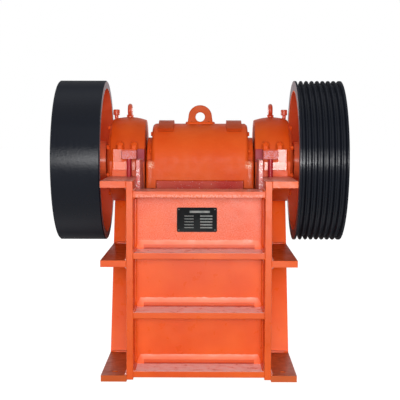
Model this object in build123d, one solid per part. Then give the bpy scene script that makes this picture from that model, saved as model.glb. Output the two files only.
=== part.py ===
from build123d import *
import math
import os

# Jaw crusher with a welded frame: two side plates joined by a ribbed front wall and rear wall,
# an eccentric shaft in two split bearing housings with a flywheel and a belt sheave on its ends,
# and a swing jaw that hangs from the eccentric and works against a fixed jaw plate.
# X runs along the shaft, the feed side faces -Y, Z is up. The origin is the middle of the
# foundation bolts, in the plane of the feet.

# Frame
side_gap = 548.0            # clear width between the side plates
side_thick = 28.0
side_rise = 8.0             # lower edges of the side plates above the underside of the feet
side_over_wall = 42.0       # side plates above the top of the front wall
shaft_to_rear = 300.0       # shaft axis to the rear edges of the side plates
flange_reach = 108.0        # how far ledges, ribs and feet stand out from a side plate
ledge_thick = 28.0
foot_thick = 26.5
middle_rib_top = 510.5
middle_rib_thick = 28.0
web_thick = 25.0            # leaning plates between the ledge and the foot
web_front_top = 99.0        # behind the shaft axis, at the ledge
web_front_foot = -183.0     # behind the shaft axis, at the foot
web_rear_top = 115.0        # in front of the rear edges, at the ledge
web_rear_foot = 68.0        # in front of the rear edges, at the foot
foundation_hole_r = 13.0
foundation_hole_end = 70.0      # from the ends of the foot flange
foundation_hole_inset = 54.0    # from the outer edge of the foot flange

# Front and rear walls
wall_thick = 25.0
rib_thick = 26.0
front_rib_depth = 140.0     # front edges of the frame to the front wall
rear_rib_depth = 130.0
lowest_rib_top = 44.5
rib_steps = (248.5, 249.5, 255.5)   # from the top of each rib to the next one up
rear_rib_count = 3
jaw_bar_depth = 40.0        # bar on the front wall that the fixed jaw plate stands on
jaw_bar_top = 113.0
jaw_bar_thick = 28.0
shelf_thick = 25.0          # shelf on the rear wall that carries the adjusting block
shelf_lip = 10.0            # shelf in front of the adjusting block
nameplate_width = 171.0
nameplate_height = 105.0
nameplate_thick = 2.0
nameplate_corner = 6.0
nameplate_x = -10.0
nameplate_drop = 130.0      # middle of the nameplate below the top of the front wall

# Crushing chamber
jaw_body_thick = 32.0       # jaw plates, without their teeth
tooth_depth = 18.0
tooth_count = 10
tooth_crest = 0.3           # share of the tooth pitch that is flat at the crest
fixed_jaw_drop = 2.0        # below the top of the front wall
feed_gape = 240.0           # between the teeth, at the top of the moving jaw plate
discharge_gap = 46.6        # between the teeth, at the bottom of the moving jaw plate
moving_jaw_drop = 147.0     # top of the moving jaw plate below the shaft axis
moving_jaw_bottom = 105.0
cheek_thick = 18.0
cheek_rise = 16.0           # top of the cheek plates above the shaft axis
cheek_foot = 118.0
cheek_top_width = 180.0
cheek_lap = 40.0            # cheek plates behind the teeth of the moving jaw plate
jaw_side_clearance = 9.0    # swing jaw to cheek plate

# Bearing housings
ledge_drop = 65.0           # shaft axis above the ledges
journal_r = 50.0
running_clearance = 0.06    # on the radius, at journals
seat_clearance = 0.3        # seats between fixed pieces
cover_clearance = 1.0       # shaft to the bores of covers
overlap = 1.0               # cutting shapes past the faces they cut, and joined shapes into each other
housing_overhang = 21.0     # housings inside the inner faces of the side plates
housing_outer = 412.0
housing_r = 192.0
cap_inner_r = 190.0
cap_crown_r = 204.5
cap_outer_r = 194.0
cap_crown_x = 330.0
cap_edge = 6.0
ear_inner_x = 287.0
ear_outer_x = 397.0
ear_reach = 238.0           # front of the cap ears to the shaft axis
ear_top = 57.0              # above the shaft axis
ear_corner = 6.0
cap_flange_reach = 212.0    # joint flange of the cap, inside the ears
pedestal_foot_inset = 14.0  # foot slab behind the front of the ears
pedestal_foot_thick = 29.0
cap_bolt_r = 10.0
cap_bolt_x = (298.0, 362.0)
cap_bolt_inset = 23.0       # bolt axis behind the front of the ears
cap_bolt_bite = 32.0        # bolt ends below the split line
nut_flat = 30.0
nut_height = 18.0
bolt_end = 17.0             # bolt beyond its nut
lug_width = 68.0            # lugs on the cap for the hold-down bolts
lug_reach = 38.0
lug_bottom = 15.0           # above the shaft axis
lug_height = 36.0
hold_down_r = 10.75
hold_down_x = 318.0
hold_down_inset = 18.0      # bolt axis behind the front of the lug
cover_width = 20.0
cover_r = 184.0
cover_nose_r = 108.0
cover_crown = 9.0
cover_crown_at = 0.6        # share of the cover's width where it is fullest
oil_cup_x = 396.0
oil_cup_r = 15.5
oil_cup_height = 27.0
oil_cup_edge = 3.0
oil_stem_r = 9.5
oil_stem_height = 16.0
eyebolt_x = 331.0
eyebolt_ring_r = 21.0       # to the middle of the bar
eyebolt_bar_r = 10.5
eyebolt_collar_r = 16.0

# Shaft, flywheel and sheave
eccentricity = 10.0
eccentric_r = 65.0
wheel_seat_r = 45.0
eccentric_end = 1.0         # eccentric beyond the head covers
wheel_seat_end = 3.0        # wheel seats start inside the inner faces of the wheels
wheel_r = 375.0
wheel_inner_x = 440.0
wheel_width = 217.5
wheel_web = 33.0
wheel_web_offset = 92.0     # inner face of the wheel to its web
web_hole_r = 52.0
web_hole_circle = 218.0
web_hole_count = 6
rim_taper = 10.0
hub_taper = 14.0
hub_r = 88.0
hub_setback = 28.0          # end of the hub inside the outer face of the wheel
flywheel_rim = 36.0
flywheel_bevel = 4.0
sheave_rim = 50.0
groove_count = 8
groove_pitch = 25.5
groove_depth = 19.0
groove_mouth = 21.0
groove_floor = 9.0
end_plate_r = 62.0
end_plate_thick = 12.0
end_plate_edge = 2.0

# Swing jaw
head_r = 184.0
head_length = 444.0
head_rounding = 18.0
jaw_proud = 1.0             # teeth of the moving jaw plate in front of the head
pad_middle = 158.0          # raised bearing pads on the head
pad_width = 70.0
pad_rise = 15.5
pad_angle = 36.0
nose_width = 404.0
nose_drop = 88.0            # lower face of the nose below the shaft axis
nose_edge = 5.0
shoulder_rise = 7.0         # shoulders above the shaft axis
shoulder_rounding = 26.0    # of the outline seen from the side
shoulder_edge = 10.0        # of the outer edges
shoulder_below_nose = 34.0
jaw_plate_back = 38.0       # thickness of the jaw casting behind its plate
jaw_rib_thick = 26.0
jaw_rib_x = 82.0
jaw_back_angle = 49.0       # where the webs leave the head, below the horizontal
jaw_foot_drop = 22.0        # jaw casting below its plate
jaw_foot_depth = 118.0
jaw_foot_height = 149.0
jaw_foot_flare = 20.0
head_cover_r = 118.0
head_cover_width = 25.0
head_cover_edge = 5.0
wedge_setback = 14.0        # behind the front of the head
wedge_end_gap = 3.0
lug_hole_r = 22.0
lug_outer_r = 55.5
lug_hole_rise = 31.0        # middle of the hole above the top of the head
lug_thick = 36.0
lug_flare = 8.0
lug_foot_depth = 18.0       # flared foot of the lug below the top of the head

# Toggle and tension rod
motion_clearance = 5.0      # left between moving pieces and fixed ones
toggle_thick = 30.0
toggle_width = 340.0
toggle_open = 16.0          # front end of the toggle plate to its seat in the jaw
toggle_seat_rise = 93.0     # toggle seat above the foot of the jaw
toggle_lift = 38.0          # rear end of the toggle plate above its front end
seat_height = 56.0          # toggle seat in the jaw
seat_depth = 30.0
seat_inset = 14.0
seat_side_room = 10.0
block_depth = 54.0
block_height = 110.0
block_below_toggle = 56.0
block_end_gap = 20.0
block_edge = 4.0
groove_lip = 3.0            # middle of the toggle's round end to the mouth of its groove
shim_thick = 24.0
rod_r = 14.0
rod_rise = 15.0             # tension rod above the foot of the jaw
rod_hole_r = 20.0
rod_pin_r = 11.0
rod_pin_end = 6.0
rod_pin_reach = 85.0        # pin behind the foot of the jaw
rod_eye_bar = 16.0
rod_eye_thick = 20.0
rod_eye_corner = 14.0
rod_ear_thick = 14.0
rod_ear_gap = 8.0
rod_ear_root = 40.0         # depth of the ears' roots in the foot of the jaw
rod_end = 30.0              # rod beyond its nuts
spring_r = 34.0
spring_wire_r = 6.0
spring_turns = 6
spring_length = 160.0
washer_thick = 10.0
washer_r = 44.0
rod_nut_flat = 42.0
rod_nut_heights = (24.0, 16.0)

# Places that follow from the sizes above, in Y from the front to the rear
fixed_jaw_depth = front_rib_depth + wall_thick + jaw_body_thick + tooth_depth
shaft_back = fixed_jaw_depth + feed_gape + jaw_proud + head_r
frame_length = shaft_back + shaft_to_rear
front_y = -frame_length / 2
rear_y = frame_length / 2
shaft_y = front_y + shaft_back
wall_front = front_y + front_rib_depth
wall_back = wall_front + wall_thick
fixed_jaw_face = wall_back + jaw_body_thick
moving_crest_top = shaft_y - head_r - jaw_proud
rear_wall_back = rear_y - rear_rib_depth
rear_wall_front = rear_wall_back - wall_thick

# in Z from the feet to the head
rib_tops = [lowest_rib_top + sum(rib_steps[:index]) for index in range(len(rib_steps) + 1)]
wall_top = rib_tops[-1]
side_top = wall_top + side_over_wall
ledge_bottom = side_top - ledge_thick
shaft_height = side_top + ledge_drop
eccentric_z = shaft_height - eccentricity
moving_jaw_top = shaft_height - moving_jaw_drop
nose_bottom = shaft_height - nose_drop
shoulder_bottom = nose_bottom - shoulder_below_nose
foot_bottom = moving_jaw_bottom - jaw_foot_drop
foot_top = foot_bottom + jaw_foot_height
toggle_jaw_z = foot_bottom + toggle_seat_rise
toggle_rear_z = toggle_jaw_z + toggle_lift
shelf_top = toggle_rear_z - block_below_toggle
rod_z = foot_bottom + rod_rise
slope = math.atan((feed_gape - discharge_gap) / (moving_jaw_top - moving_jaw_bottom))

# and in X from the middle outwards
half_gap = side_gap / 2
outer_x = half_gap + side_thick
flange_x = outer_x + flange_reach
cheek_x = half_gap - cheek_thick
housing_x = half_gap - housing_overhang
jaw_half = cheek_x - jaw_side_clearance
head_half = head_length / 2
wheel_outer_x = wheel_inner_x + wheel_width
hub_outer_x = wheel_outer_x - hub_setback
hold_down_back = ear_reach + lug_reach - hold_down_inset
cap_bolt_back = ear_reach - cap_bolt_inset

nodes = {}


def along_x(outline, x_low, x_high):
    """Solid of a Y-Z outline between two places on X."""
    return extrude(Plane.YZ.offset(x_low) * outline, amount=x_high - x_low, dir=(1, 0, 0))


def block(x_low, x_high, y_low, y_high, z_low, z_high):
    size = (x_high - x_low, y_high - y_low, z_high - z_low)
    return Pos(x_low, y_low, z_low) * Box(*size, align=Align.MIN)


def disc_x(radius, x_low, x_high, y=shaft_y, z=shaft_height):
    return along_x(Pos(y, z) * Circle(radius), x_low, x_high)


def post(radius, x, y, z_low, z_high):
    upright = Cylinder(radius, z_high - z_low, align=(Align.CENTER, Align.CENTER, Align.MIN))
    return Pos(x, y, z_low) * upright


def nut(flat, height, bore_r=0.0):
    """Hexagon nut on the Z axis, two of its flats facing along X."""
    outline = Rot(0, 0, 30) * RegularPolygon(flat / 2, 6, major_radius=False)
    if bore_r:
        outline -= Circle(bore_r)
    return extrude(outline, amount=height, dir=(0, 0, 1))


def rearwards(piece, y):
    """Turn a piece that stands on the X-Y plane to point to the rear, on the tension rod's axis."""
    return Pos(0, y, rod_z) * Rot(-90, 0, 0) * piece


def around_shaft(points):
    """Solid of revolution about the shaft axis, from points (x, radius)."""
    profile = make_face(Plane.XZ * Polyline(*points, close=True))
    return Pos(0, shaft_y, shaft_height) * revolve(profile, Axis.X)


def left_of(right_piece):
    return mirror(right_piece, about=Plane.YZ)


def both_sides(right_piece):
    return [right_piece, left_of(right_piece)]


def keep(name, *solids):
    nodes[name] = solids


def keep_pair(name, *right_solids):
    keep(name + "_right", *right_solids)
    keep(name + "_left", *[left_of(solid) for solid in right_solids])


# Welded frame

def housing_seat():
    return disc_x(housing_r + seat_clearance, half_gap - overlap, flange_x + overlap)


def side_plate():
    return block(half_gap, outer_x, front_y, rear_y, side_rise, side_top) - housing_seat()


def side_flange(z_low, z_high):
    return block(outer_x, flange_x, front_y, rear_y, z_low, z_high)


def bearing_ledge():
    """The ledge in front of the bearing housing and the one behind it, with bolt holes."""
    ledge = side_flange(ledge_bottom, side_top) - housing_seat()
    for side in (-1, 1):
        y = shaft_y + side * hold_down_back
        hole_r = hold_down_r + seat_clearance
        ledge -= post(hole_r, hold_down_x, y, ledge_bottom - overlap, side_top + overlap)
    return ledge.solids()


def foot_flange():
    flange = side_flange(0, foot_thick)
    x = flange_x - foundation_hole_inset
    for y in (front_y + foundation_hole_end, rear_y - foundation_hole_end):
        flange -= post(foundation_hole_r, x, y, -overlap, foot_thick + overlap)
    return flange


def leaning_web(top_y, foot_y):
    """The two stretches of a leaning plate, above and below the middle rib."""
    rise = ledge_bottom - foot_thick
    run = top_y - foot_y
    half_width = web_thick / 2 * math.hypot(rise, run) / rise
    stretches = []
    for z_low, z_high in ((foot_thick, middle_rib_top - middle_rib_thick), (middle_rib_top, ledge_bottom)):
        y_low = foot_y + run * (z_low - foot_thick) / rise
        y_high = foot_y + run * (z_high - foot_thick) / rise
        corners = [
            (y_low - half_width, z_low),
            (y_low + half_width, z_low),
            (y_high + half_width, z_high),
            (y_high - half_width, z_high),
        ]
        stretch = along_x(Polygon(*corners, align=None), outer_x, flange_x) - housing_seat()
        stretches.append(stretch.solids().sort_by(Axis.Z)[0])
    return stretches


def front_wall():
    wall = block(-half_gap, half_gap, wall_front, wall_back, lowest_rib_top - rib_thick, wall_top)
    bar_back = wall_back + jaw_bar_depth
    bar = block(-half_gap, half_gap, wall_back, bar_back, jaw_bar_top - jaw_bar_thick, jaw_bar_top)
    return wall + bar


def wall_ribs(tops, y_low, y_high):
    return [block(-half_gap, half_gap, y_low, y_high, top - rib_thick, top) for top in tops]


def rear_wall():
    top = rib_tops[rear_rib_count - 1]
    wall = block(-half_gap, half_gap, rear_wall_front, rear_wall_back, lowest_rib_top - rib_thick, top)
    shelf_front = rear_wall_front - shim_thick - block_depth - shelf_lip
    shelf = block(-half_gap, half_gap, shelf_front, rear_wall_front, shelf_top - shelf_thick, shelf_top)
    rod_hole = rearwards(Cylinder(rod_hole_r, 4 * wall_thick), rear_wall_back)
    return wall + shelf - rod_hole


def nameplate():
    middle = wall_top - nameplate_drop
    plate = block(
        nameplate_x - nameplate_width / 2,
        nameplate_x + nameplate_width / 2,
        wall_front - nameplate_thick,
        wall_front,
        middle - nameplate_height / 2,
        middle + nameplate_height / 2,
    )
    return fillet(plate.edges().filter_by(Axis.Y), nameplate_corner)


# Crushing chamber

def toothed_outline(half_width, pitch, count):
    """X-Y outline of a jaw plate: back at y = 0, teeth towards +Y, running up the plate."""
    points = [(-half_width, 0), (-half_width, jaw_body_thick)]
    first = -pitch * count / 2
    flank = (1 - tooth_crest) / 2 * pitch
    for index in range(count):
        start = first + index * pitch
        points.append((start, jaw_body_thick))
        points.append((start + flank, jaw_body_thick + tooth_depth))
        points.append((start + pitch - flank, jaw_body_thick + tooth_depth))
    points.append((first + count * pitch, jaw_body_thick))
    points.append((half_width, jaw_body_thick))
    points.append((half_width, 0))
    return Polygon(*points, align=None)


tooth_pitch = 2 * (cheek_x - seat_clearance) / tooth_count


def fixed_jaw_plate():
    plate_height = wall_top - fixed_jaw_drop - jaw_bar_top
    outline = toothed_outline(half_gap, tooth_pitch, tooth_count)
    return Pos(0, wall_back, jaw_bar_top) * extrude(outline, amount=plate_height, dir=(0, 0, 1))


def moving_jaw_plate():
    """Plate on the swing jaw, its teeth opposite the gaps of the fixed jaw plate."""
    length = (moving_jaw_top - moving_jaw_bottom) / math.cos(slope)
    outline = toothed_outline(jaw_half, tooth_pitch, tooth_count - 1)
    plate = Rot(0, 0, 180) * extrude(outline, amount=length, dir=(0, 0, -1))
    top = Pos(0, face_y(moving_jaw_top), moving_jaw_top)
    return top * Rot(-math.degrees(slope), 0, 0) * plate


def cheek_plate():
    """Liner of a side plate, cut round the bearing housing."""
    top = shaft_height + cheek_rise
    crest_foot = moving_crest_top - (moving_jaw_top - cheek_foot) * math.tan(slope)
    outline = Polygon(
        (fixed_jaw_face, cheek_foot),
        (fixed_jaw_face, top),
        (fixed_jaw_face + cheek_top_width, top),
        (moving_crest_top + cheek_lap, moving_jaw_top),
        (crest_foot + jaw_body_thick + cheek_lap, cheek_foot),
        align=None,
    )
    outline -= Pos(shaft_y, shaft_height) * Circle(housing_r + motion_clearance)
    return along_x(outline, cheek_x, half_gap).solids().sort_by(Axis.Y)[0]


# Bearing housings

def bolt_bores(z_low, z_high):
    """Holes for the four short bolts of a bearing cap, between two heights."""
    places = [(x, shaft_y + side * cap_bolt_back) for x in cap_bolt_x for side in (-1, 1)]
    return [post(cap_bolt_r + seat_clearance, x, y, z_low, z_high) for x, y in places]


def shaft_bore():
    return disc_x(journal_r + running_clearance, housing_x - overlap, housing_outer + overlap)


def half_space(z_low, z_high):
    x_low = housing_x - overlap
    x_high = housing_outer + overlap
    return block(x_low, x_high, shaft_y - wheel_r, shaft_y + wheel_r, z_low, z_high)


def pedestal():
    """Lower half of a bearing housing: a half drum with an ear over a foot slab at each end."""
    foot_reach = ear_reach - pedestal_foot_inset
    foot_high = side_top + pedestal_foot_thick
    foot = block(ear_inner_x, ear_outer_x, shaft_y - foot_reach, shaft_y + foot_reach, side_top, foot_high)
    ears = block(ear_inner_x, ear_outer_x, shaft_y - ear_reach, shaft_y + ear_reach, foot_high, shaft_height)
    drum = disc_x(housing_r, housing_x, housing_outer) & half_space(0, shaft_height)
    body = drum + foot + fillet(ears.edges().filter_by(Axis.Z), ear_corner)
    body -= shaft_bore()
    for bore in bolt_bores(shaft_height - cap_bolt_bite - seat_clearance, shaft_height + overlap):
        body -= bore
    return body


def cap_crown():
    """Crown of the cap in the X-Z plane, its radius over the shaft axis."""
    return ThreePointArc(
        (housing_x, cap_inner_r), (cap_crown_x, cap_crown_r), (housing_outer - cap_edge, cap_outer_r)
    )


def on_cap(x):
    """Height of the top of the bearing cap at a place on X."""
    crown = cap_crown()
    centre = crown.arc_center
    return shaft_height + centre.Y + math.sqrt(crown.radius ** 2 - (x - centre.X) ** 2)


def bearing_cap():
    """Upper half of a bearing housing: a domed drum with ears, and lugs for the hold-down bolts."""
    profile = Plane.XZ * (
        Polyline((housing_outer, 0), (housing_x, 0), (housing_x, cap_inner_r))
        + cap_crown()
        + Polyline(
            (housing_outer - cap_edge, cap_outer_r),
            (housing_outer, cap_outer_r - cap_edge),
            (housing_outer, 0),
        )
    )
    dome = Pos(0, shaft_y, shaft_height) * revolve(make_face(profile), Axis.X)
    ear_high = shaft_height + ear_top
    ears = block(ear_inner_x, ear_outer_x, shaft_y - ear_reach, shaft_y + ear_reach, shaft_height, ear_high)
    ears = fillet(ears.edges().filter_by(Axis.Z), ear_corner)
    flange_front = shaft_y - cap_flange_reach
    flange_back = shaft_y + cap_flange_reach
    flange = block(housing_x, ear_outer_x, flange_front, flange_back, shaft_height, ear_high)
    body = (dome & half_space(shaft_height, shaft_height + wheel_r)) + flange + ears
    lug_low = shaft_height + lug_bottom
    lug_back = ear_reach + lug_reach
    lug = block(
        hold_down_x - lug_width / 2,
        hold_down_x + lug_width / 2,
        shaft_y - lug_back,
        shaft_y + lug_back,
        lug_low,
        lug_low + lug_height,
    )
    body += fillet(lug.edges().filter_by(Axis.Z), ear_corner)
    body -= shaft_bore()
    for bore in bolt_bores(shaft_height - overlap, ear_high + overlap):
        body -= bore
    for side in (-1, 1):
        y = shaft_y + side * hold_down_back
        hole_r = hold_down_r + seat_clearance
        body -= post(hole_r, hold_down_x, y, lug_low - overlap, lug_low + lug_height / 2)
    return body


def bearing_bolts():
    """Short bolts of the caps, and long bolts from the lugs down through the ledges."""
    bolts = []
    nut_seat = shaft_height + ear_top
    lug_middle = shaft_height + lug_bottom + lug_height / 2
    for side in (-1, 1):
        for x in cap_bolt_x:
            y = shaft_y + side * cap_bolt_back
            bolt = post(cap_bolt_r, x, y, shaft_height - cap_bolt_bite, nut_seat + nut_height + bolt_end)
            bolts.append(bolt + Pos(x, y, nut_seat) * nut(nut_flat, nut_height))
        y = shaft_y + side * hold_down_back
        low_nut = ledge_bottom - nut_height
        bolt = post(hold_down_r, hold_down_x, y, low_nut - bolt_end, lug_middle - seat_clearance)
        bolts.append(bolt + Pos(hold_down_x, y, low_nut) * nut(nut_flat, nut_height))
    return bolts + [left_of(bolt) for bolt in bolts]


def end_cover():
    """Domed cover on the outer end of a bearing housing."""
    outer = housing_outer + cover_width
    bore = journal_r + cover_clearance
    middle = (housing_outer + cover_crown_at * cover_width, (cover_r + cover_nose_r) / 2 + cover_crown)
    profile = Plane.XZ * (
        Polyline((housing_outer, bore), (housing_outer, cover_r))
        + ThreePointArc((housing_outer, cover_r), middle, (outer, cover_nose_r))
        + Polyline((outer, cover_nose_r), (outer, bore), (housing_outer, bore))
    )
    return Pos(0, shaft_y, shaft_height) * revolve(make_face(profile), Axis.X)


def oil_cup():
    base = on_cap(oil_cup_x)
    bowl_low = base + oil_stem_height
    bowl = post(oil_cup_r, oil_cup_x, shaft_y, bowl_low, bowl_low + oil_cup_height)
    bowl = chamfer(bowl.edges().filter_by(GeomType.CIRCLE), oil_cup_edge)
    stem = post(oil_stem_r, oil_cup_x, shaft_y, base - overlap, bowl_low + overlap)
    return stem + bowl - under_cap()


def under_cap():
    """The drum of a cap, to seat small pieces on its crown."""
    crown = cap_crown()
    outline = Polyline(crown @ 1, (housing_outer, 0), (housing_x, 0), crown @ 0)
    return Pos(0, shaft_y, shaft_height) * revolve(make_face(Plane.XZ * (crown + outline)), Axis.X)


def eyebolt():
    """Lifting eye on a bearing cap: a ring that faces along the shaft, on a round collar."""
    base = on_cap(eyebolt_x)
    ring_z = base + eyebolt_ring_r + eyebolt_bar_r
    ring = Pos(eyebolt_x, shaft_y, ring_z) * Rot(0, 90, 0) * Torus(eyebolt_ring_r, eyebolt_bar_r)
    collar = post(eyebolt_collar_r, eyebolt_x, shaft_y, base - 2 * overlap, base + eyebolt_bar_r)
    return (ring + collar - under_cap()).solids().sort_by(Axis.Z)[-1]


# Shaft, flywheel and sheave

def eccentric_shaft():
    middle = head_half + head_cover_width + eccentric_end
    shaft = disc_x(eccentric_r, -middle, middle, shaft_y, eccentric_z)
    journal_end = wheel_inner_x - wheel_seat_end
    journal = disc_x(journal_r, middle, journal_end)
    seat = disc_x(wheel_seat_r, journal_end, hub_outer_x)
    for end in both_sides(journal + seat):
        shaft += end
    return shaft


def wheel(rim, tread):
    """Wheel on the right end of the shaft; tread lists (x, radius) points across its face."""
    web_inner = wheel_inner_x + wheel_web_offset
    web_outer = web_inner + wheel_web
    rim_inner_r = wheel_r - rim
    bore_r = wheel_seat_r + running_clearance
    points = [
        (wheel_inner_x, bore_r),
        (wheel_inner_x, hub_r),
        (web_inner, hub_r + hub_taper),
        (web_inner, rim_inner_r - rim_taper),
        (wheel_inner_x, rim_inner_r),
    ]
    points += tread
    points += [
        (wheel_outer_x, rim_inner_r),
        (web_outer, rim_inner_r - rim_taper),
        (web_outer, hub_r + hub_taper),
        (hub_outer_x, hub_r),
        (hub_outer_x, bore_r),
    ]
    body = around_shaft(points)
    for index in range(web_hole_count):
        angle = 2 * math.pi * (index + 0.5) / web_hole_count
        y = shaft_y + web_hole_circle * math.cos(angle)
        z = shaft_height + web_hole_circle * math.sin(angle)
        body -= disc_x(web_hole_r, web_inner - overlap, web_outer + overlap, y, z)
    return body


def flywheel():
    tread = [
        (wheel_inner_x, wheel_r - flywheel_bevel),
        (wheel_inner_x + flywheel_bevel, wheel_r),
        (wheel_outer_x - flywheel_bevel, wheel_r),
        (wheel_outer_x, wheel_r - flywheel_bevel),
    ]
    return left_of(wheel(flywheel_rim, tread))


def sheave():
    edge = (wheel_width - (groove_count - 1) * groove_pitch) / 2
    tread = [(wheel_inner_x, wheel_r)]
    for index in range(groove_count):
        middle = wheel_inner_x + edge + index * groove_pitch
        tread += [
            (middle - groove_mouth / 2, wheel_r),
            (middle - groove_floor / 2, wheel_r - groove_depth),
            (middle + groove_floor / 2, wheel_r - groove_depth),
            (middle + groove_mouth / 2, wheel_r),
        ]
    tread.append((wheel_outer_x, wheel_r))
    return wheel(sheave_rim, tread)


def end_plate():
    plate = disc_x(end_plate_r, hub_outer_x, hub_outer_x + end_plate_thick)
    return chamfer(plate.edges().sort_by(Axis.X)[-1], end_plate_edge)


# Swing jaw

def face_y(z, depth=0.0):
    """Y of the back of the moving jaw plate at a height, or of a plane further back."""
    back = jaw_body_thick + tooth_depth + depth
    return moving_crest_top - (moving_jaw_top - z) * math.tan(slope) + back / math.cos(slope)


def jaw_web(*upper_points):
    """Y-Z outline of a web of the jaw casting, from its front plane to its back edge."""
    angle = math.radians(jaw_back_angle)
    back_point = (shaft_y + head_r * math.cos(angle), eccentric_z - head_r * math.sin(angle))
    return Polygon(
        (face_y(shoulder_bottom), shoulder_bottom),
        (face_y(foot_bottom), foot_bottom),
        (face_y(foot_bottom) + jaw_foot_depth, foot_bottom),
        (face_y(foot_top) + jaw_foot_depth + jaw_foot_flare, foot_top),
        back_point,
        *upper_points,
        align=None,
    )


def bearing_pad(side):
    """Raised pad on top of the head, over one end of the eccentric."""
    reach = 2 * head_r
    spread = reach * math.tan(math.radians(pad_angle))
    sector = Polygon(
        (shaft_y, eccentric_z),
        (shaft_y + spread, eccentric_z + reach),
        (shaft_y - spread, eccentric_z + reach),
        align=None,
    )
    ring = Pos(shaft_y, eccentric_z) * Circle(head_r + pad_rise)
    x_low = side * pad_middle - pad_width / 2
    return along_x(ring & sector, x_low, x_low + pad_width)


def toggle_pocket():
    """Room in the foot of the jaw for its toggle seat and for the toggle plate as the jaw moves."""
    half = toggle_width / 2 + seat_side_room
    seat_low = toggle_jaw_z - seat_height / 2
    seat_high = toggle_jaw_z + seat_height / 2
    sweep_low = toggle_jaw_z - toggle_thick / 2 - 2 * eccentricity - motion_clearance
    sweep_back = seat_back() + jaw_foot_flare + seat_inset + toggle_open
    pocket = block(-half, half, seat_back() - seat_depth, seat_back(), seat_low, seat_high)
    return pocket + block(-half, half, seat_back(), sweep_back + jaw_foot_depth, sweep_low, seat_high)


def swing_jaw():
    """Casting: barrel head with bearing pads and nose, ribbed jaw with a foot for the toggle."""
    head_front = shaft_y - head_r
    casting = disc_x(head_r, -head_half, head_half, shaft_y, eccentric_z)
    casting = fillet(casting.edges(), head_rounding)
    nose = Polygon(
        (head_front, eccentric_z),
        (head_front, nose_bottom),
        (shaft_y, nose_bottom),
        (shaft_y, eccentric_z),
        align=None,
    )
    nose = fillet(nose.vertices().sort_by_distance((head_front, nose_bottom, 0))[0], nose_edge)
    casting += along_x(nose, -nose_width / 2, nose_width / 2)
    plate = Polygon(
        (face_y(shoulder_bottom), shoulder_bottom),
        (face_y(foot_bottom), foot_bottom),
        (face_y(foot_bottom, jaw_plate_back), foot_bottom),
        (face_y(shoulder_bottom, jaw_plate_back), shoulder_bottom),
        align=None,
    )
    casting += along_x(plate, -jaw_half, jaw_half)
    foot = Polygon(
        (face_y(foot_bottom), foot_bottom),
        (face_y(foot_bottom) + jaw_foot_depth, foot_bottom),
        (face_y(foot_top) + jaw_foot_depth + jaw_foot_flare, foot_top),
        (face_y(foot_top), foot_top),
        align=None,
    )
    casting += along_x(foot, -jaw_half, jaw_half)

    shoulder_top = shaft_height + shoulder_rise
    shoulder = jaw_web(
        (shaft_y + head_r / 2, eccentric_z),
        (shaft_y, shoulder_top),
        (head_front, shoulder_top),
        (head_front, shoulder_bottom),
    )
    corner = shoulder.vertices().sort_by_distance((head_front, shoulder_top, 0))[0]
    shoulder = fillet(corner, shoulder_rounding)
    lobe = along_x(shoulder, nose_width / 2, jaw_half)
    outer_edges = lobe.faces().sort_by(Axis.X)[-1].edges()
    middles = [(edge, edge.center()) for edge in outer_edges]
    front_edges = [edge for edge, middle in middles if middle.Y < shaft_y and middle.Z > nose_bottom]
    lobe_width = jaw_half - nose_width / 2
    edge_rounding = min(shoulder_edge, lobe_width / 2)      # a narrow lobe has a smaller rounding
    for piece in both_sides(fillet(front_edges, edge_rounding)):
        casting += piece
    rib = jaw_web((shaft_y, eccentric_z))
    for side in (-1, 1):
        casting += along_x(rib, side * jaw_rib_x - jaw_rib_thick / 2, side * jaw_rib_x + jaw_rib_thick / 2)
        casting += bearing_pad(side)
    casting -= disc_x(eccentric_r + running_clearance, -wheel_inner_x, wheel_inner_x, shaft_y, eccentric_z)
    cover_seat = disc_x(head_cover_r + seat_clearance, head_half, wheel_inner_x, shaft_y, eccentric_z)
    for seat in both_sides(cover_seat):
        casting -= seat
    casting -= toggle_pocket()
    return casting + rod_ear(-1) + rod_ear(1)


def seat_back():
    """Y of the rear face of the toggle seat in the jaw."""
    return face_y(toggle_jaw_z) + jaw_foot_depth - seat_inset


def rod_pin_y():
    return face_y(rod_z) + jaw_foot_depth + rod_pin_reach


def rod_ear(side):
    """Ear on the foot of the jaw that carries one end of the tension rod's pin."""
    ear_low = rod_eye_thick / 2 + rod_ear_gap
    x_low, x_high = sorted((side * ear_low, side * (ear_low + rod_ear_thick)))
    round_r = 2 * rod_pin_r
    root_y = face_y(rod_z) + jaw_foot_depth - rod_ear_root
    outline = Pos(rod_pin_y(), rod_z) * Circle(round_r)
    outline += Polygon(
        (root_y, foot_bottom),
        (rod_pin_y(), rod_z - round_r),
        (rod_pin_y(), rod_z + round_r),
        (root_y, foot_bottom + 2 * round_r),
        align=None,
    )
    outline -= Pos(rod_pin_y(), rod_z) * Circle(rod_pin_r + running_clearance)
    return along_x(outline, x_low, x_high)


def jaw_wedge():
    """Bar under the nose of the head that clamps the top of the moving jaw plate."""
    front = shaft_y - head_r + wedge_setback
    back = face_y(moving_jaw_top)
    plate_top = moving_jaw_top + seat_clearance
    outline = Polygon(
        (back, plate_top),
        (front, plate_top + (back - front) * math.tan(slope)),
        (front, nose_bottom),
        (back, nose_bottom),
        align=None,
    )
    outline -= Pos(shaft_y, eccentric_z) * Circle(head_r + seat_clearance)
    half = nose_width / 2 - wedge_end_gap
    return along_x(outline, -half, half)


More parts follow.
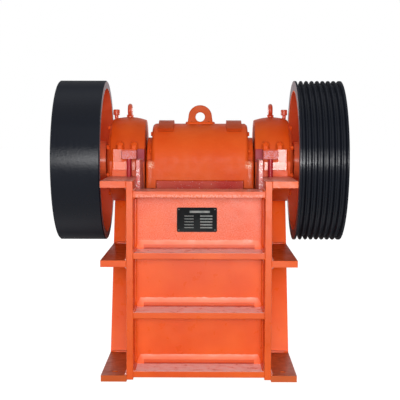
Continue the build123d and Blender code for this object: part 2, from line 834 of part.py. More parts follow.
def lifting_lug():
    """Lug on top of the head, in the plane of the shaft, with a flared foot on the barrel."""
    centre_z = eccentric_z + head_r + lug_hole_rise
    foot_z = eccentric_z + head_r - lug_foot_depth
    outline = Pos(0, centre_z) * Circle(lug_outer_r)
    outline += Polygon(
        (-lug_outer_r, centre_z),
        (-lug_outer_r - lug_flare, foot_z),
        (lug_outer_r + lug_flare, foot_z),
        (lug_outer_r, centre_z),
        align=None,
    )
    outline -= Pos(0, centre_z) * Circle(lug_hole_r)
    lug = Pos(0, shaft_y, 0) * extrude(Plane.XZ * outline, amount=lug_thick / 2, both=True)
    return lug - disc_x(head_r, -wheel_inner_x, wheel_inner_x, shaft_y, eccentric_z)


def head_cover():
    ring = disc_x(head_cover_r, head_half, head_half + head_cover_width, shaft_y, eccentric_z)
    ring = fillet(ring.edges().sort_by(Axis.X)[-1], head_cover_edge)
    return ring - disc_x(eccentric_r + cover_clearance, 0, wheel_inner_x, shaft_y, eccentric_z)


# Toggle plate and tension rod

def toggle_ends():
    """Middles of the toggle plate's rounded ends, as (y, z)."""
    front = (seat_back() + toggle_open + toggle_thick / 2, toggle_jaw_z)
    rear = (rear_wall_front - shim_thick - block_depth, toggle_rear_z)
    return front, rear


def toggle_plate():
    front, rear = toggle_ends()
    length = math.hypot(rear[0] - front[0], rear[1] - front[1])
    angle = math.degrees(math.atan2(rear[1] - front[1], rear[0] - front[0]))
    middle = Pos((front[0] + rear[0]) / 2, (front[1] + rear[1]) / 2)
    outline = middle * Rot(0, 0, angle) * SlotCenterToCenter(length, toggle_thick)
    return along_x(outline, -toggle_width / 2, toggle_width / 2)


def jaw_toggle_seat():
    half = toggle_width / 2 + seat_side_room
    bar = block(
        -half,
        half,
        seat_back() - seat_depth,
        seat_back(),
        toggle_jaw_z - seat_height / 2,
        toggle_jaw_z + seat_height / 2,
    )
    return bar - disc_x(toggle_thick / 2, -toggle_width, toggle_width, seat_back(), toggle_jaw_z)


def adjusting_block():
    rear_end = toggle_ends()[1]
    half = half_gap - block_end_gap
    y_high = rear_wall_front - shim_thick
    bar = block(-half, half, rear_end[0] + groove_lip, y_high, shelf_top, shelf_top + block_height)
    bar = chamfer(bar.edges().filter_by(Axis.X), block_edge)
    return bar - disc_x(toggle_thick / 2 + seat_clearance, -side_gap, side_gap, *rear_end)


def shim_pack():
    half = half_gap - block_end_gap
    y_low = rear_wall_front - shim_thick
    return block(-half, half, y_low, rear_wall_front, shelf_top, shelf_top + block_height)


def rod_pin():
    half = rod_eye_thick / 2 + rod_ear_gap + rod_ear_thick + rod_pin_end
    return disc_x(rod_pin_r, -half, half, rod_pin_y(), rod_z)


spring_start = rear_wall_back + washer_thick
nuts_start = spring_start + spring_length + washer_thick


def tension_rod():
    """Rod with a long eye that leaves room for the jaw's pin to go round."""
    room = rod_pin_r + eccentricity + motion_clearance
    eye_low = rod_z - rod_pin_r - motion_clearance
    eye_high = rod_z + rod_pin_r + 2 * eccentricity + motion_clearance
    middle = Pos(rod_pin_y(), (eye_low + eye_high) / 2)
    window = Rectangle(2 * room, eye_high - eye_low)
    around = Rectangle(2 * room + 2 * rod_eye_bar, eye_high - eye_low + 2 * rod_eye_bar)
    window = fillet(window.vertices(), rod_eye_corner)
    around = fillet(around.vertices(), rod_eye_corner + rod_eye_bar)
    eye = along_x(middle * (around - window), -rod_eye_thick / 2, rod_eye_thick / 2)
    start = rod_pin_y() + room + rod_eye_bar / 2
    end = nuts_start + sum(rod_nut_heights) + seat_clearance + rod_end
    rod = Cylinder(rod_r, end - start, align=(Align.CENTER, Align.CENTER, Align.MIN))
    return eye + rearwards(rod, start)


def spring_washer(y_low):
    ring = Circle(washer_r) - Circle(rod_r + seat_clearance)
    return rearwards(extrude(ring, amount=washer_thick, dir=(0, 0, 1)), y_low)


def rod_nuts():
    pieces = []
    y_low = nuts_start
    for height in rod_nut_heights:
        pieces.append(rearwards(nut(rod_nut_flat, height, rod_r + seat_clearance), y_low))
        y_low += height + seat_clearance
    return pieces


def tension_spring():
    """Coil of round wire, its section drawn with eight sides."""
    rise = spring_length - 2 * spring_wire_r
    path = Helix(rise / spring_turns, rise, spring_r)
    section = Plane(path @ 0, z_dir=path % 0) * RegularPolygon(spring_wire_r, 8)
    return rearwards(sweep(section, path=path, is_frenet=True), spring_start + spring_wire_r)


keep_pair("side_plate", side_plate())
keep_pair("bearing_ledge", *bearing_ledge())
keep_pair("middle_rib", side_flange(middle_rib_top - middle_rib_thick, middle_rib_top))
keep_pair("foot_flange", foot_flange())
keep_pair(
    "side_webs",
    *leaning_web(shaft_y + web_front_top, shaft_y + web_front_foot),
    *leaning_web(rear_y - web_rear_top, rear_y - web_rear_foot),
)
keep("front_wall", front_wall())
keep("front_ribs", *wall_ribs(rib_tops, front_y, wall_front))
keep("rear_wall", rear_wall())
keep("rear_ribs", *wall_ribs(rib_tops[:rear_rib_count], rear_wall_back, rear_y))
keep("nameplate", nameplate())
keep("fixed_jaw_plate", fixed_jaw_plate())
keep_pair("cheek_plate", cheek_plate())
keep_pair("bearing_pedestal", pedestal())
keep_pair("bearing_cap", bearing_cap())
keep_pair("bearing_end_cover", end_cover())
keep("bearing_bolts", *bearing_bolts())
keep("oil_cups", *both_sides(oil_cup()))
keep("cap_eyebolts", *both_sides(eyebolt()))
keep("eccentric_shaft", eccentric_shaft())
keep("flywheel", flywheel())
keep("sheave", sheave())
keep("shaft_end_plates", *both_sides(end_plate()))
keep("swing_jaw", swing_jaw())
keep("moving_jaw_plate", moving_jaw_plate())
keep("jaw_wedge", jaw_wedge())
keep("lifting_lug", lifting_lug())
keep("head_covers", *both_sides(head_cover()))
keep("jaw_toggle_seat", jaw_toggle_seat())
keep("rod_pin", rod_pin())
keep("toggle_plate", toggle_plate())
keep("adjusting_block", adjusting_block())
keep("shim_pack", shim_pack())
keep("tension_rod", tension_rod())
keep("rod_washers", spring_washer(rear_wall_back), spring_washer(spring_start + spring_length))
keep("rod_nuts", *rod_nuts())
keep("tension_spring", tension_spring())

os.makedirs("parts", exist_ok=True)
for name, pieces in nodes.items():
    solids = [solid for piece in pieces for solid in piece.solids()]
    shape = solids[0] if len(solids) == 1 else Compound(solids)
    export_step(shape, "parts/" + name + ".step")
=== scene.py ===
import bpy
import bmesh
import math
from mathutils import Matrix, Vector


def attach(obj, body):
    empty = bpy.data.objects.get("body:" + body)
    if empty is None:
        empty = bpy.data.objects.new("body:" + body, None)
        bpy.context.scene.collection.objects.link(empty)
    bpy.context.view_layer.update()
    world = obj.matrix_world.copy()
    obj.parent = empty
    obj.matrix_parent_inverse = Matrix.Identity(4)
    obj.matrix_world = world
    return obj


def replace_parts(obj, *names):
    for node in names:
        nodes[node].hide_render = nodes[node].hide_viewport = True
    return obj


# Jaw crusher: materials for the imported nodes, weld seams, small bolts, nameplate and the studio.
# Metres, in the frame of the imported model: x along the shaft, the ribbed front wall faces -y.

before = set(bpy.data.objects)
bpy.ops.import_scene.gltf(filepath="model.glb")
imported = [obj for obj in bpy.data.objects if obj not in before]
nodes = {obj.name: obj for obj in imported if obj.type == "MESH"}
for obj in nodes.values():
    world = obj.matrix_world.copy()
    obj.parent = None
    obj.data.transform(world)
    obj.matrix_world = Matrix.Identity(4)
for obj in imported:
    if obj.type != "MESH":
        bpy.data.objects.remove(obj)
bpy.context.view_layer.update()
print("frame loaded:", len(nodes), "nodes")

shaft = Vector((0.0, 0.170, 0.905))      # middle of the eccentric shaft
crank = Vector((0.0, 0.170, 0.895))      # middle of the eccentric, where the swing jaw turns

# sockets of a Mix node go by number, because its numbers and colours share their names
mixShare, numberA, numberB, mixedNumber = 0, 2, 3, 0
colourA, colourB, mixedColour = 6, 7, 2


# sRGB hex to linear colour
def hexColour(text):
    channels = [int(text[i:i + 2], 16) / 255 for i in (0, 2, 4)]
    return [c / 12.92 if c <= 0.04045 else ((c + 0.055) / 1.055) ** 2.4 for c in channels] + [1.0]


# adds a node; values are sockets to link or plain settings for its inputs
def addNode(tree, kind, values=None, **settings):
    node = tree.nodes.new(kind)
    for key, value in settings.items():
        setattr(node, key, value)
    for key, value in (values or {}).items():
        if isinstance(value, bpy.types.NodeSocket):
            tree.links.new(value, node.inputs[key])
        else:
            node.inputs[key].default_value = value
    return node


# noise and other patterns are sized by what one blotch or grain measures, in mm
def perMetre(millimetres):
    return 1000.0 / millimetres


def newMaterial(name):
    material = bpy.data.materials.new(name)
    material.use_nodes = True
    material.node_tree.nodes.clear()
    return material, material.node_tree


def finishMaterial(tree, surface):
    addNode(tree, "ShaderNodeOutputMaterial", {"Surface": surface})


# Two-part machine enamel, sprayed thick over steel: deep glossy orange-red with orange peel and slow drifts
# in film thickness.
# Faces that look up take painted light from above: a pale painted sheen, and dark brown painted shade on feet
# and middle ribs.
# Patterns are in mm. Grain is drawn a little coarser than the real one, so that it shows.
plateEnamel = {
    "name": "plateEnamel", "paint": "DA4E0A", "thin": "E45C16", "paintedTop": "E8B4AC",
    "drift": 180, "peel": 7, "peelHeight": 0.00024, "grain": 1.6, "grainHeight": 0.00004,
    "paintedTopShare": 0.42, "roughness": 0.3, "specular": 0.26, "ior": 1.5,
    "gloss": 0.0, "glossRoughness": 0.08, "chip": 0.0, "patches": (), "planed": None,
}
# the same enamel over sand-cast iron, with the casting's skin showing through
castEnamel = dict(
    plateEnamel, name="castEnamel", paint="DE5016", thin="E45E22", peel=11, peelHeight=0.0005,
    grain=3, grainHeight=0.00025, paintedTopShare=0.0, roughness=0.42, specular=0.09)
# swing jaw: the pads on its head are painted darker, and the corners of its lobes carry pale speckled painted
# highlights
headEnamel = dict(
    castEnamel, name="headEnamel", roughness=0.45, specular=0.14,
    planed={"low": (0.2200, 0.050, 0.800), "high": (0.2480, 0.260, 0.990), "share": 1.0, "roughness": 0.14},
    patches=(
        {"low": (0.1225, 0.0, 1.040), "high": (0.1935, 0.125, 1.100), "colour": "8E3616", "share": 0.5},
        # pale painted highlight on the top corners of the lobes
        {"low": (0.2040, 0.130, 0.8700), "high": (0.2420, 0.196, 0.9100), "colour": "FFC8A8",
         "share": 0.9, "speckle": 5, "fade": 0.012},
    ))
# bearing housings: faces planed flat, then painted smooth
housingEnamel = dict(
    castEnamel, name="housingEnamel", peelHeight=0.0002, grainHeight=0.00004, roughness=0.42, specular=0.3,
    planed={"low": (0.2500, 0.200, 0.8695), "high": (0.4150, 0.290, 0.9630), "share": 1.0, "roughness": 0.17})
# front wall: pale specks over the upper panel are painted glints of its orange peel
wallEnamel = dict(plateEnamel, name="wallEnamel", patches=(
    {"low": (0.0, 0.490, 0.5425), "high": (0.262, 0.505, 0.7720), "colour": "FFC4B4",
     "share": 0.16, "speckle": 5},
))
# lifting lug, in a darker paint
lugEnamel = dict(castEnamel, name="lugEnamel", paint="BC4812", thin="D05820", roughness=0.4, specular=0.09)
# side webs in a brighter paint, painted light where the ledges shade them; feet in a darker paint; feet and
# middle ribs take dark brown painted shade on faces that look up
webEnamel = dict(plateEnamel, name="webEnamel", paint="F85A0C", thin="FF6A1A")
footEnamel = dict(plateEnamel, name="footEnamel", paint="BE5018", thin="C85C28", roughness=0.4,
                  specular=0.2, paintedTop="5A2A20", paintedTopShare=0.4)
shelfEnamel = dict(plateEnamel, name="shelfEnamel", roughness=0.4, specular=0.24,
                   paintedTop="5A2A20", paintedTopShare=0.4)
# end covers, turned, in a brighter paint: painted light where the wheels shade them
coverEnamel = dict(castEnamel, name="coverEnamel", paint="F06A30", thin="F67840")
# bearing caps, in a darker paint: the inner part of the joint flange is painted dark maroon, and the lug
# further out carries pale speckled painted highlights
capEnamel = dict(
    castEnamel, name="capEnamel", paint="CC4606", thin="D8540E", peelHeight=0.0003,
    grainHeight=0.00006, roughness=0.5, specular=0.24,
    planed={"low": (0.3530, 0.200, 0.900), "high": (0.4150, 0.290, 0.9630), "share": 1.0, "roughness": 0.16},
    patches=(
        {"low": (0.2525, 0.185, 0.900), "high": (0.2862, 0.215, 0.9630), "colour": "983040", "share": 0.95},
        # pale specks on the lug: painted highlights
        {"low": (0.2835, 0.233, 0.9190), "high": (0.3525, 0.280, 0.9570), "colour": "D89AA4",
         "share": 0.8, "speckle": 5},
    ))
# wedge under the nose: dark red, streaked with stone dust
wedgeEnamel = dict(castEnamel, name="wedgeEnamel", paint="BC342C", thin="D05A46", chip=0.05)
# ribs of the front wall: a pale painted sheen on faces that look up, painted shade over the top rib's upper
# face, and pale speckled painted highlights along the lower half of its face
ribEnamel = dict(
    plateEnamel, name="ribEnamel", paintedTop="FFE8E6", paintedTopShare=1.0, peelHeight=0.00016,
    patches=(
        # painted shade over the top rib's upper face, in place of the pale painted sheen
        {"low": (0.0, 0.490, 0.790), "high": (0.280, 0.645, 0.806), "colour": "DC5018", "share": 0.85},
        # pale specks along the top rib's face: painted highlights
        {"low": (0.0, 0.632, 0.7715), "high": (0.262, 0.645, 0.7850), "colour": "FFB8AC",
         "share": 0.4, "speckle": 7},
    ))
# thick seams between the ribs and the wall, where the paint has run smooth; their paler paint is a painted
# highlight, and the darker bands under the lip are painted shade
seamEnamel = dict(
    plateEnamel, name="seamEnamel", paint="EC6636", thin="F07648", peel=20, peelHeight=0.0003,
    paintedTopShare=0.0, roughness=0.32, specular=0.36,
    # painted shade under the lip, darkest at the rib's top
    patches=tuple(
        {"low": (0.0, 0.490, top), "high": (0.238, 0.510, top + high), "colour": colour, "share": 0.9}
        for top in (0.0445, 0.293, 0.5425)
        for high, colour in ((0.0195, "C84C1A"), (0.006, "9C2C0C"))))
# liners: the same paint on rough steel, with pale bare specks
roughEnamel = dict(
    plateEnamel, name="roughEnamel", paint="C4504A", thin="E49A94", peel=9, peelHeight=0.0012,
    grain=3, grainHeight=0.0008, paintedTopShare=0.5, roughness=0.5, gloss=0.3, chip=0.35)
# bolts and small fittings, brushed over with a thin glossy coat
boltEnamel = dict(
    plateEnamel, name="boltEnamel", paint="BC3E22", thin="CC5430", peel=4, peelHeight=0.0003,
    grain=1.5, grainHeight=0.0001, paintedTopShare=0.2, roughness=0.35, gloss=0.25)
# long bolts that hold the caps down, left in their dark red primer
primerRed = dict(boltEnamel, name="primerRed", paint="A81E26", thin="BA303A", paintedTopShare=0.0,
                 specular=0.2, gloss=0.1)
enamels = (plateEnamel, castEnamel, headEnamel, housingEnamel, wallEnamel, lugEnamel, shelfEnamel,
           webEnamel, footEnamel, coverEnamel, capEnamel, wedgeEnamel, ribEnamel, seamEnamel,
           roughEnamel, boltEnamel, primerRed)

# the part of its noise that each pattern of the enamel takes, and what it does to the paint
enamelSpread = {
    "driftFrom": 0.35, "driftTo": 0.68,
    "upFrom": 0.55, "upTo": 1.0, "paintedTopGain": 1.8,      # painted light lies where a face looks up this far
    "blotch": 35, "blotchFrom": 0.3, "blotchTo": 0.7, "smoother": 0.05, "rougher": 0.12,
    "speckleFrom": 0.38, "speckleTo": 0.6, "fade": 0.0002,
    "chip": 6, "chipFrom": 0.66, "chipTo": 0.70, "chipGain": 0.2, "chipColour": "F4E4E0",
}


# share of a patch: its box is given for the right side and counted from the shaft along y,
# and is the same on the left side and on the other side of the shaft
def patchShare(tree, place, patch):
    spread = enamelSpread
    centred = addNode(tree, "ShaderNodeVectorMath", {0: place, 1: (0.0, shaft.y, 0.0)}, operation="SUBTRACT")
    folded = addNode(tree, "ShaderNodeVectorMath", {0: centred.outputs["Vector"]}, operation="ABSOLUTE")
    middle = [(low + high) / 2 for low, high in zip(patch["low"], patch["high"])]
    half = [(high - low) / 2 for low, high in zip(patch["low"], patch["high"])]
    away = addNode(tree, "ShaderNodeVectorMath", {0: folded.outputs["Vector"], 1: middle},
                   operation="SUBTRACT")
    reach = addNode(tree, "ShaderNodeVectorMath", {0: away.outputs["Vector"]}, operation="ABSOLUTE")
    parts = addNode(tree, "ShaderNodeSeparateXYZ", {"Vector": reach.outputs["Vector"]})
    share = patch["share"]
    if "speckle" in patch:
        speckle = addNode(tree, "ShaderNodeTexNoise", {
            "Vector": place, "Scale": perMetre(patch["speckle"]), "Detail": 3.0})
        share = addNode(tree, "ShaderNodeMapRange", {
            "Value": speckle.outputs["Fac"], "From Min": spread["speckleFrom"],
            "From Max": spread["speckleTo"], "To Max": share}).outputs["Result"]
    fade = patch.get("fade", spread["fade"])
    for axis, limit in zip("XYZ", half):
        inside = addNode(tree, "ShaderNodeMapRange", {
            "Value": parts.outputs[axis], "From Min": limit - fade, "From Max": limit,
            "To Min": 1.0, "To Max": 0.0})
        share = addNode(tree, "ShaderNodeMath", {0: inside.outputs["Result"], 1: share},
                        operation="MULTIPLY").outputs["Value"]
    return share


def enamelMaterial(look):
    spread = enamelSpread
    material, tree = newMaterial(look["name"])
    place = addNode(tree, "ShaderNodeTexCoord").outputs["Object"]
    normal = addNode(tree, "ShaderNodeNewGeometry").outputs["Normal"]
    noise = {}
    for pattern, size, detail in (("drift", look["drift"], 3.0), ("peel", look["peel"], 1.0),
                                  ("grain", look["grain"], 2.0), ("blotch", spread["blotch"], 5.0)):
        noise[pattern] = addNode(tree, "ShaderNodeTexNoise", {
            "Vector": place, "Scale": perMetre(size), "Detail": detail}).outputs["Fac"]
    thickness = addNode(tree, "ShaderNodeMapRange", {
        "Value": noise["drift"], "From Min": spread["driftFrom"], "From Max": spread["driftTo"]})
    paint = addNode(tree, "ShaderNodeMix", {
        mixShare: thickness.outputs["Result"], colourA: hexColour(look["paint"]),
        colourB: hexColour(look["thin"])}, data_type="RGBA")
    # faces that look up take a second colour in blotches, painted light from above: pale as a painted sheen,
    # dark brown as painted shade
    up = addNode(tree, "ShaderNodeSeparateXYZ", {"Vector": normal}).outputs["Z"]
    upward = addNode(tree, "ShaderNodeMapRange", {
        "Value": up, "From Min": spread["upFrom"], "From Max": spread["upTo"], "To Max": look["paintedTopShare"]})
    paintedTop = addNode(tree, "ShaderNodeMath", {0: upward.outputs["Result"], 1: noise["blotch"]},
                   operation="MULTIPLY")
    paintedTopShown = addNode(tree, "ShaderNodeMath", {0: paintedTop.outputs["Value"], 1: spread["paintedTopGain"]},
                        operation="MULTIPLY", use_clamp=True)
    colour = addNode(tree, "ShaderNodeMix", {
        mixShare: paintedTopShown.outputs["Value"], colourA: paint.outputs[mixedColour],
        colourB: hexColour(look["paintedTop"])}, data_type="RGBA").outputs[mixedColour]
    for patch in look["patches"]:
        colour = addNode(tree, "ShaderNodeMix", {
            mixShare: patchShare(tree, place, patch), colourA: colour,
            colourB: hexColour(patch["colour"])}, data_type="RGBA").outputs[mixedColour]
    if look["chip"]:      # small chips that show the pale stopper under the paint
        speck = addNode(tree, "ShaderNodeTexNoise", {
            "Vector": place, "Scale": perMetre(spread["chip"]), "Detail": 4.0})
        lower = spread["chipGain"] * look["chip"]
        chipped = addNode(tree, "ShaderNodeMapRange", {
            "Value": speck.outputs["Fac"], "From Min": spread["chipFrom"] - lower,
            "From Max": spread["chipTo"] - lower})
        colour = addNode(tree, "ShaderNodeMix", {
            mixShare: chipped.outputs["Result"], colourA: colour,
            colourB: hexColour(spread["chipColour"])}, data_type="RGBA").outputs[mixedColour]
    coarse = addNode(tree, "ShaderNodeBump", {"Height": noise["peel"], "Distance": look["peelHeight"]})
    fine = addNode(tree, "ShaderNodeBump", {
        "Height": noise["grain"], "Distance": look["grainHeight"], "Normal": coarse.outputs["Normal"]})
    roughness = addNode(tree, "ShaderNodeMapRange", {
        "Value": noise["blotch"], "From Min": spread["blotchFrom"], "From Max": spread["blotchTo"],
        "To Min": look["roughness"] - spread["smoother"],
        "To Max": look["roughness"] + spread["rougher"]}).outputs["Result"]
    if look["planed"]:      # smoother where the casting was planed before painting
        roughness = addNode(tree, "ShaderNodeMix", {
            mixShare: patchShare(tree, place, look["planed"]), numberA: roughness,
            numberB: look["planed"]["roughness"]}).outputs[mixedNumber]
    shader = addNode(tree, "ShaderNodeBsdfPrincipled", {
        "Base Color": colour, "Roughness": roughness, "Normal": fine.outputs["Normal"],
        "IOR": look["ior"], "Specular IOR Level": look["specular"], "Coat Weight": look["gloss"],
        "Coat Roughness": look["glossRoughness"], "Coat IOR": look["ior"]})
    finishMaterial(tree, shader.outputs["BSDF"])
    return material


# Wheels: cast iron, the tread under blue-black gloss paint, the rim's faces under a thin grey coat,
# web, hub and the inside of the rim in orange-red, painted lighter than the machine's as painted light in the
# shaded inside
wheelFinish = {
    # the inside colours are lighter than the machine's paint: painted light where the rim shades the inside
    "name": "wheelEnamel", "black": "050B18", "blackWorn": "080E19", "inside": "F0784A",
    "insideDeep": "DE6034", "faceCoat": "84787C", "faceRoughness": 0.65,
    "treadRadius": 0.349, "rimRadius": 0.330,
    "sideways": 0.985,      # a face that looks along the shaft
    "wipe": 14, "wipeAlong": (1.0, 0.15, 0.15), "wipeFrom": 0.3, "wipeTo": 0.7, "drift": 90,
    "peel": 9, "peelHeight": 0.0003,
    "turning": 2.5, "turningHeight": 0.0001,      # turning marks, coarser than real ones so that they show
    "roughness": 0.18, "smoother": 0.02, "rougher": 0.04, "specular": 0.17,
    "glanceFrom": 0.24, "glanceTo": 0.6, "glanceRoughness": 0.8,
}


def wheelMaterial(look):
    material, tree = newMaterial(look["name"])
    place = addNode(tree, "ShaderNodeTexCoord").outputs["Object"]
    normal = addNode(tree, "ShaderNodeNewGeometry").outputs["Normal"]
    # tread, rim and inside are told apart by their distance from the shaft
    centred = addNode(tree, "ShaderNodeVectorMath", {0: place, 1: (0.0, shaft.y, shaft.z)},
                      operation="SUBTRACT")
    across = addNode(tree, "ShaderNodeVectorMath", {0: centred.outputs["Vector"], 1: (0.0, 1.0, 1.0)},
                     operation="MULTIPLY")
    radius = addNode(tree, "ShaderNodeVectorMath", {0: across.outputs["Vector"]},
                     operation="LENGTH").outputs["Value"]
    onTread = addNode(tree, "ShaderNodeMath", {0: radius, 1: look["treadRadius"]}, operation="GREATER_THAN")
    onRim = addNode(tree, "ShaderNodeMath", {0: radius, 1: look["rimRadius"]}, operation="GREATER_THAN")
    normalX = addNode(tree, "ShaderNodeSeparateXYZ", {"Vector": normal}).outputs["X"]
    turnedAway = addNode(tree, "ShaderNodeMath", {0: normalX}, operation="ABSOLUTE")
    sideways = addNode(tree, "ShaderNodeMath", {0: turnedAway.outputs["Value"], 1: look["sideways"]},
                       operation="GREATER_THAN")
    onFace = addNode(tree, "ShaderNodeMath", {0: sideways.outputs["Value"], 1: onRim.outputs["Value"]},
                     operation="MULTIPLY").outputs["Value"]
    stretched = addNode(tree, "ShaderNodeVectorMath", {0: place, 1: look["wipeAlong"]}, operation="MULTIPLY")
    wipe = addNode(tree, "ShaderNodeTexNoise", {
        "Vector": stretched.outputs["Vector"], "Scale": perMetre(look["wipe"]), "Detail": 4.0})
    drift = addNode(tree, "ShaderNodeTexNoise", {
        "Vector": place, "Scale": perMetre(look["drift"]), "Detail": 3.0})
    black = addNode(tree, "ShaderNodeMix", {
        mixShare: wipe.outputs["Fac"], colourA: hexColour(look["black"]),
        colourB: hexColour(look["blackWorn"])}, data_type="RGBA")
    # orange-red inside, painted lighter as painted light in the wheel's shade
    inside = addNode(tree, "ShaderNodeMix", {
        mixShare: drift.outputs["Fac"], colourA: hexColour(look["inside"]),
        colourB: hexColour(look["insideDeep"])}, data_type="RGBA")
    painted = addNode(tree, "ShaderNodeMix", {
        mixShare: onTread.outputs["Value"], colourA: inside.outputs[mixedColour],
        colourB: black.outputs[mixedColour]}, data_type="RGBA")
    colour = addNode(tree, "ShaderNodeMix", {
        mixShare: onFace, colourA: painted.outputs[mixedColour],
        colourB: hexColour(look["faceCoat"])}, data_type="RGBA")
    turns = addNode(tree, "ShaderNodeMath", {0: radius, 1: perMetre(look["turning"]) * 2 * math.pi},
                    operation="MULTIPLY")
    waves = addNode(tree, "ShaderNodeMath", {0: turns.outputs["Value"]}, operation="SINE")
    turning = addNode(tree, "ShaderNodeMath", {0: waves.outputs["Value"], 1: onFace}, operation="MULTIPLY")
    peel = addNode(tree, "ShaderNodeTexNoise", {
        "Vector": place, "Scale": perMetre(look["peel"]), "Detail": 1.0})
    skin = addNode(tree, "ShaderNodeBump", {"Height": peel.outputs["Fac"], "Distance": look["peelHeight"]})
    marks = addNode(tree, "ShaderNodeBump", {
        "Height": turning.outputs["Value"], "Distance": look["turningHeight"],
        "Normal": skin.outputs["Normal"]})
    wiped = addNode(tree, "ShaderNodeMapRange", {
        "Value": wipe.outputs["Fac"], "From Min": look["wipeFrom"], "From Max": look["wipeTo"],
        "To Min": look["roughness"] - look["smoother"], "To Max": look["roughness"] + look["rougher"]})
    # at a flat angle the peel hides the gloss
    facing = addNode(tree, "ShaderNodeLayerWeight", {"Blend": 0.5}).outputs["Facing"]
    hidden = addNode(tree, "ShaderNodeMapRange", {
        "Value": facing, "From Min": look["glanceFrom"], "From Max": look["glanceTo"]})
    softer = addNode(tree, "ShaderNodeMix", {
        mixShare: hidden.outputs["Result"], numberA: wiped.outputs["Result"],
        numberB: look["glanceRoughness"]})
    roughness = addNode(tree, "ShaderNodeMix", {
        mixShare: onFace, numberA: softer.outputs[mixedNumber], numberB: look["faceRoughness"]})
    shader = addNode(tree, "ShaderNodeBsdfPrincipled", {
        "Base Color": colour.outputs[mixedColour], "Roughness": roughness.outputs[mixedNumber],
        "Normal": marks.outputs["Normal"], "Specular IOR Level": look["specular"]})
    finishMaterial(tree, shader.outputs["BSDF"])
    return material


# Thinly oiled steel, turned bright, with duller patches where the oil has dried
turnedSteel = {
    "name": "turnedSteel", "base": "9B9A97", "shade": "6F6C69", "metal": 1.0, "roughness": 0.33,
    "grain": 3, "height": 0.00008,
    "patch": 25, "patchFrom": 0.3, "patchTo": 0.7, "smoother": 0.08, "rougher": 0.12,
}
# jaw plates of cast manganese steel, still under the machine's paint, uneven and dull
manganeseSteel = dict(turnedSteel, name="manganeseSteel", base="B8502E", shade="8C3A22", metal=0.0,
                      roughness=0.55, grain=8, height=0.0008)
# spring wire, blackened when it was hardened
springSteel = dict(turnedSteel, name="springSteel", base="1C1D20", shade="2C2B2A", metal=0.6,
                   roughness=0.42, grain=4, height=0.0001)
# nameplate's rivets and empty fields: zinc gone dull and grey
etchedZinc = dict(turnedSteel, name="etchedZinc", base="7E8683", shade="4C5451", metal=0.0,
                  roughness=0.5, grain=2, height=0.00005)
# zinc-plated screws, satin
zincSteel = dict(turnedSteel, name="zincSteel", base="8F9094", shade="6E6E70", roughness=0.4,
                 height=0.0001)
metals = (turnedSteel, manganeseSteel, springSteel, etchedZinc, zincSteel)


def metalMaterial(look):
    material, tree = newMaterial(look["name"])
    place = addNode(tree, "ShaderNodeTexCoord").outputs["Object"]
    patches = addNode(tree, "ShaderNodeTexNoise", {
        "Vector": place, "Scale": perMetre(look["patch"]), "Detail": 6.0})
    grain = addNode(tree, "ShaderNodeTexNoise", {
        "Vector": place, "Scale": perMetre(look["grain"]), "Detail": 3.0})
    colour = addNode(tree, "ShaderNodeMix", {
        mixShare: patches.outputs["Fac"], colourA: hexColour(look["base"]),
        colourB: hexColour(look["shade"])}, data_type="RGBA")
    roughness = addNode(tree, "ShaderNodeMapRange", {
        "Value": patches.outputs["Fac"], "From Min": look["patchFrom"], "From Max": look["patchTo"],
        "To Min": look["roughness"] - look["smoother"], "To Max": look["roughness"] + look["rougher"]})
    bump = addNode(tree, "ShaderNodeBump", {"Height": grain.outputs["Fac"], "Distance": look["height"]})
    shader = addNode(tree, "ShaderNodeBsdfPrincipled", {
        "Base Color": colour.outputs[mixedColour], "Metallic": look["metal"],
        "Roughness": roughness.outputs["Result"], "Normal": bump.outputs["Normal"]})
    finishMaterial(tree, shader.outputs["BSDF"])
    return material


# Black lacquered sheet for the nameplate, brushed along its length before the lacquer went on;
# the brush lines are coarser than real ones, so that they show
lacqueredSheet = {
    "name": "lacqueredSheet", "black": "07090B", "smeared": "15191B", "smear": 18,
    "brush": 1.5, "brushAlong": (0.06, 1.0, 1.0), "brushHeight": 0.00006,
    "roughness": 0.34, "specular": 0.04,
}


def lacquerMaterial(look):
    material, tree = newMaterial(look["name"])
    place = addNode(tree, "ShaderNodeTexCoord").outputs["Object"]
    along = addNode(tree, "ShaderNodeVectorMath", {0: place, 1: look["brushAlong"]}, operation="MULTIPLY")
    brush = addNode(tree, "ShaderNodeTexNoise", {
        "Vector": along.outputs["Vector"], "Scale": perMetre(look["brush"]), "Detail": 3.0})
    smear = addNode(tree, "ShaderNodeTexNoise", {
        "Vector": place, "Scale": perMetre(look["smear"]), "Detail": 5.0})
    colour = addNode(tree, "ShaderNodeMix", {
        mixShare: smear.outputs["Fac"], colourA: hexColour(look["black"]),
        colourB: hexColour(look["smeared"])}, data_type="RGBA")
    bump = addNode(tree, "ShaderNodeBump", {
        "Height": brush.outputs["Fac"], "Distance": look["brushHeight"]})
    shader = addNode(tree, "ShaderNodeBsdfPrincipled", {
        "Base Color": colour.outputs[mixedColour], "Roughness": look["roughness"],
        "Specular IOR Level": look["specular"], "Normal": bump.outputs["Normal"]})
    finishMaterial(tree, shader.outputs["BSDF"])
    return material


materials = {look["name"]: enamelMaterial(look) for look in enamels}
materials.update({look["name"]: metalMaterial(look) for look in metals})
materials[wheelFinish["name"]] = wheelMaterial(wheelFinish)
materials[lacqueredSheet["name"]] = lacquerMaterial(lacqueredSheet)
print("materials:", len(materials))

